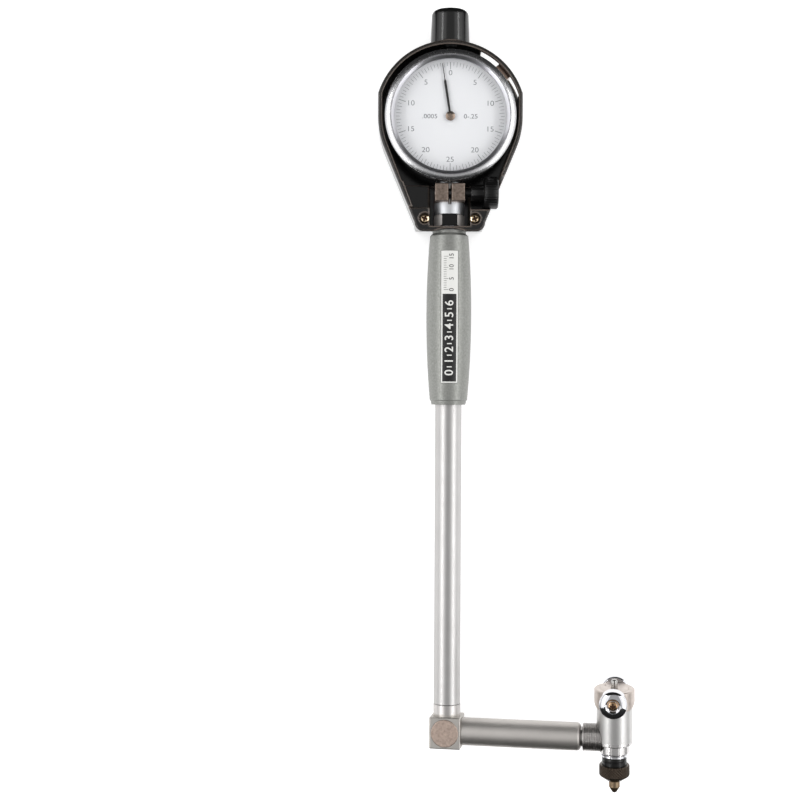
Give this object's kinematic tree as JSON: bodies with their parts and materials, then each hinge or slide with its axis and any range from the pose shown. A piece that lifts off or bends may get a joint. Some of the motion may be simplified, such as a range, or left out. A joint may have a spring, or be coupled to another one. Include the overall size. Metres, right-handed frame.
{
  "type": "dial bore gauge",
  "caption": "Right-angle dial bore gauge: guarded dial indicator on a gripped stem, with a side arm carrying a measuring head with rollers, contact and anvil.",
  "frame": {"origin": "where the dial's axis meets the flat back of the dial guard", "axes": "+Z the way the dial faces, +Y along the stem towards the dial, +X towards the side arm"},
  "size_m": [0.1154, 0.352, 0.0437],
  "materials": {
    "guard": "black gloss moulded shell",
    "screw_brass": "brass pan-head screws",
    "case": "satin dial case",
    "steel": "ground steel",
    "brass": "turned brass",
    "chrome": "polished chrome plate",
    "pointer": "black painted pointer",
    "face": "off-white printed dial face",
    "crystal": "clear crystal",
    "nickel": "nickel plated steel",
    "black_metal": "black oxide",
    "grip": "grey satin grip",
    "label": "printed plate",
    "alu": "satin anodised tube",
    "plate": "beige tinted satin plate"
  },
  "bodies": {
    "gauge": {"guard_shell": "guard", "guard_clamp": "guard", "guard_screws": "screw_brass", "dial_case": "case", "case_cover": "case", "cover_screws": "steel", "dial_stem": "steel", "spindle_cap": "case", "movement_plate": "brass", "bezel_clamp": "nickel", "clamp_neck": "nickel", "lock_nut": "black_metal", "neck_washer": "chrome", "grip": "grip", "grip_label": "label", "stem_tube": "alu", "upper_bush": "brass", "lower_bush": "brass", "corner_block": "alu", "block_cover": "plate", "elbow_pin": "steel", "arm_tube": "alu", "head_collar": "alu", "inner_bush": "brass", "outer_bush": "brass", "head_body": "alu", "head_pin": "steel", "anvil_seat": "black_metal", "anvil": "steel"},
    "stem_rod": {"stem_rod": "steel"},
    "elbow_lever": {"elbow_lever": "steel"},
    "arm_rod": {"arm_rod": "steel"},
    "head_lever": {"head_lever": "steel"},
    "contact": {"contact": "steel"},
    "spindle": {"spindle": "steel"},
    "rack_wheel": {"rack_wheel": "brass"},
    "pointer": {"centre_arbor": "steel", "pointer": "pointer"},
    "takeup_wheel": {"takeup_wheel": "brass"},
    "bezel": {"bezel": "chrome", "dial_face": "face", "crystal": "crystal"},
    "bridge": {"bridge": "plate", "front_axle_screw": "brass", "back_axle_screw": "brass"},
    "front_roller": {"front_roller": "chrome"},
    "back_roller": {"back_roller": "chrome"},
    "clamp_screw": {"clamp_screw": "black_metal"},
    "bezel_clamp_screw": {"bezel_clamp_screw": "nickel"},
    "anvil_nut": {"anvil_nut": "black_metal"}
  },
  "joints": [
    {"name": "stem_rod_slide", "type": "slide", "parent": "gauge", "child": "stem_rod", "axis": [0, 1, 0], "range_m": [0, 0.0014], "stiffness_N_per_m": 120, "springref_m": -0.008},
    {"name": "elbow_turn", "type": "hinge", "parent": "gauge", "child": "elbow_lever", "pos_m": [0.00354, -0.2741, 0.01266], "axis": [-0.1822, 0, 0.9833], "range_deg": [-24, 0]},
    {"name": "arm_rod_slide", "type": "slide", "parent": "gauge", "child": "arm_rod", "axis": [-0.9833, 0, -0.1822], "range_m": [0, 0.0014]},
    {"name": "head_lever_turn", "type": "hinge", "parent": "gauge", "child": "head_lever", "pos_m": [0.07063, -0.27412, 0.02547], "axis": [-0.1812, -0.1045, 0.9779], "range_deg": [-24, 0]},
    {"name": "contact_slide", "type": "slide", "parent": "gauge", "child": "contact", "axis": [0.019, -0.9945, -0.1028], "range_m": [0, 0.0014]},
    {"name": "spindle_slide", "type": "slide", "parent": "gauge", "child": "spindle", "axis": [0, 1, 0], "range_m": [0, 0.0014]},
    {"name": "rack_wheel_turn", "type": "hinge", "parent": "gauge", "child": "rack_wheel", "pos_m": [-0.00342, 0.00811, 0.016], "axis": [0, 0, 1], "range_deg": [0, 41]},
    {"name": "pointer_turn", "type": "hinge", "parent": "gauge", "child": "pointer", "pos_m": [0, 0, 0.02], "axis": [0, 0, 1], "range_deg": [-400, 0]},
    {"name": "takeup_wheel_turn", "type": "hinge", "parent": "gauge", "child": "takeup_wheel", "pos_m": [0.00811, -0.00342, 0.016], "axis": [0, 0, 1], "range_deg": [0, 41]},
    {"name": "bridge_slide", "type": "slide", "parent": "gauge", "child": "bridge", "axis": [0.019, -0.9945, -0.1028], "range_m": [0, 0.0018], "stiffness_N_per_m": 500, "springref_m": -0.002},
    {"name": "front_roller_spin", "type": "hinge", "parent": "bridge", "child": "front_roller", "pos_m": [0.0717, -0.26001, 0.03945], "axis": [-0.1812, -0.1045, 0.9779], "continuous": true},
    {"name": "back_roller_spin", "type": "hinge", "parent": "bridge", "child": "back_roller", "pos_m": [0.07605, -0.2575, 0.01598], "axis": [-0.1812, -0.1045, 0.9779], "continuous": true},
    {"name": "bezel_turn", "type": "hinge", "parent": "gauge", "child": "bezel", "pos_m": [0, 0, 0.02], "axis": [0, 0, 1], "continuous": true},
    {"name": "clamp_screw_turn", "type": "hinge", "parent": "gauge", "child": "clamp_screw", "pos_m": [0.012, -0.0343, 0.0192], "axis": [1, 0, 0], "range_deg": [0, 300]},
    {"name": "bezel_clamp_screw_turn", "type": "hinge", "parent": "gauge", "child": "bezel_clamp_screw", "pos_m": [0.02264, 0.01968, 0.0143], "axis": [0.7547, 0.6561, 0], "range_deg": [0, 180]},
    {"name": "anvil_nut_turn", "type": "hinge", "parent": "gauge", "child": "anvil_nut", "pos_m": [0.07452, -0.29262, 0.02422], "axis": [0.019, -0.9945, -0.1028], "range_deg": [0, 300]}
  ],
  "couplings": [
    {"joint": "elbow_turn", "follows": "stem_rod_slide", "rad_per_m": -285.3},
    {"joint": "arm_rod_slide", "follows": "stem_rod_slide", "ratio": 1},
    {"joint": "head_lever_turn", "follows": "stem_rod_slide", "rad_per_m": -285.3},
    {"joint": "contact_slide", "follows": "stem_rod_slide", "ratio": 1},
    {"joint": "spindle_slide", "follows": "stem_rod_slide", "ratio": 1},
    {"joint": "rack_wheel_turn", "follows": "stem_rod_slide", "rad_per_m": 495.05},
    {"joint": "pointer_turn", "follows": "stem_rod_slide", "rad_per_m": -4950.5},
    {"joint": "takeup_wheel_turn", "follows": "stem_rod_slide", "rad_per_m": 495.05}
  ]
}
